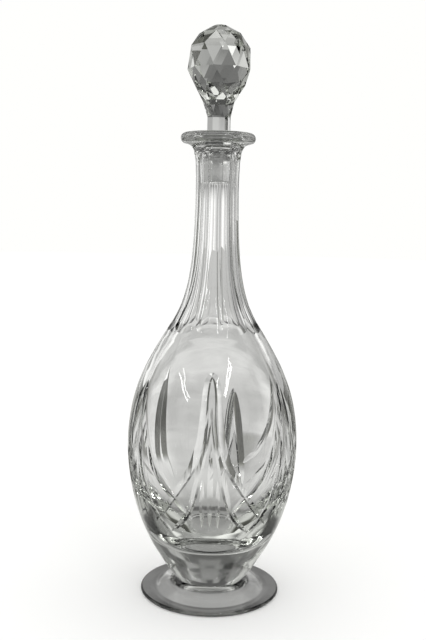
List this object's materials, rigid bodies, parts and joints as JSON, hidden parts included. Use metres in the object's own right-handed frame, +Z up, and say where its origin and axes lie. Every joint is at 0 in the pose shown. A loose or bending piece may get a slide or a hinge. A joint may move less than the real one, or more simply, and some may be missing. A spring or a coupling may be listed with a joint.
{
  "type": "decanter",
  "caption": "Footed cut-crystal decanter: egg-shaped bowl with lancet cuts, long fluted neck, flared lip and a faceted drop stopper that lifts out of its ground seat.",
  "frame": {"origin": "centre of the foot's resting ring, on the table plane", "axes": "+Z runs up the vessel's axis to the stopper's tip; -Y is the front, the side the picture shows; +X is to the right seen from the front"},
  "size_m": [0.1116, 0.1116, 0.3682],
  "materials": {
    "crystal": "polished lead crystal, clear, with hand-cut facets",
    "stopper_crystal": "polished lead crystal, clear; the plug is finely ground"
  },
  "bodies": {
    "vessel": {"bowl": "crystal", "foot": "crystal"},
    "stopper": {"stopper": "stopper_crystal"}
  },
  "joints": [
    {"name": "stopper_lift", "type": "slide", "parent": "vessel", "child": "stopper", "axis": [0, 0, 1], "range_m": [0, 0.06]}
  ]
}
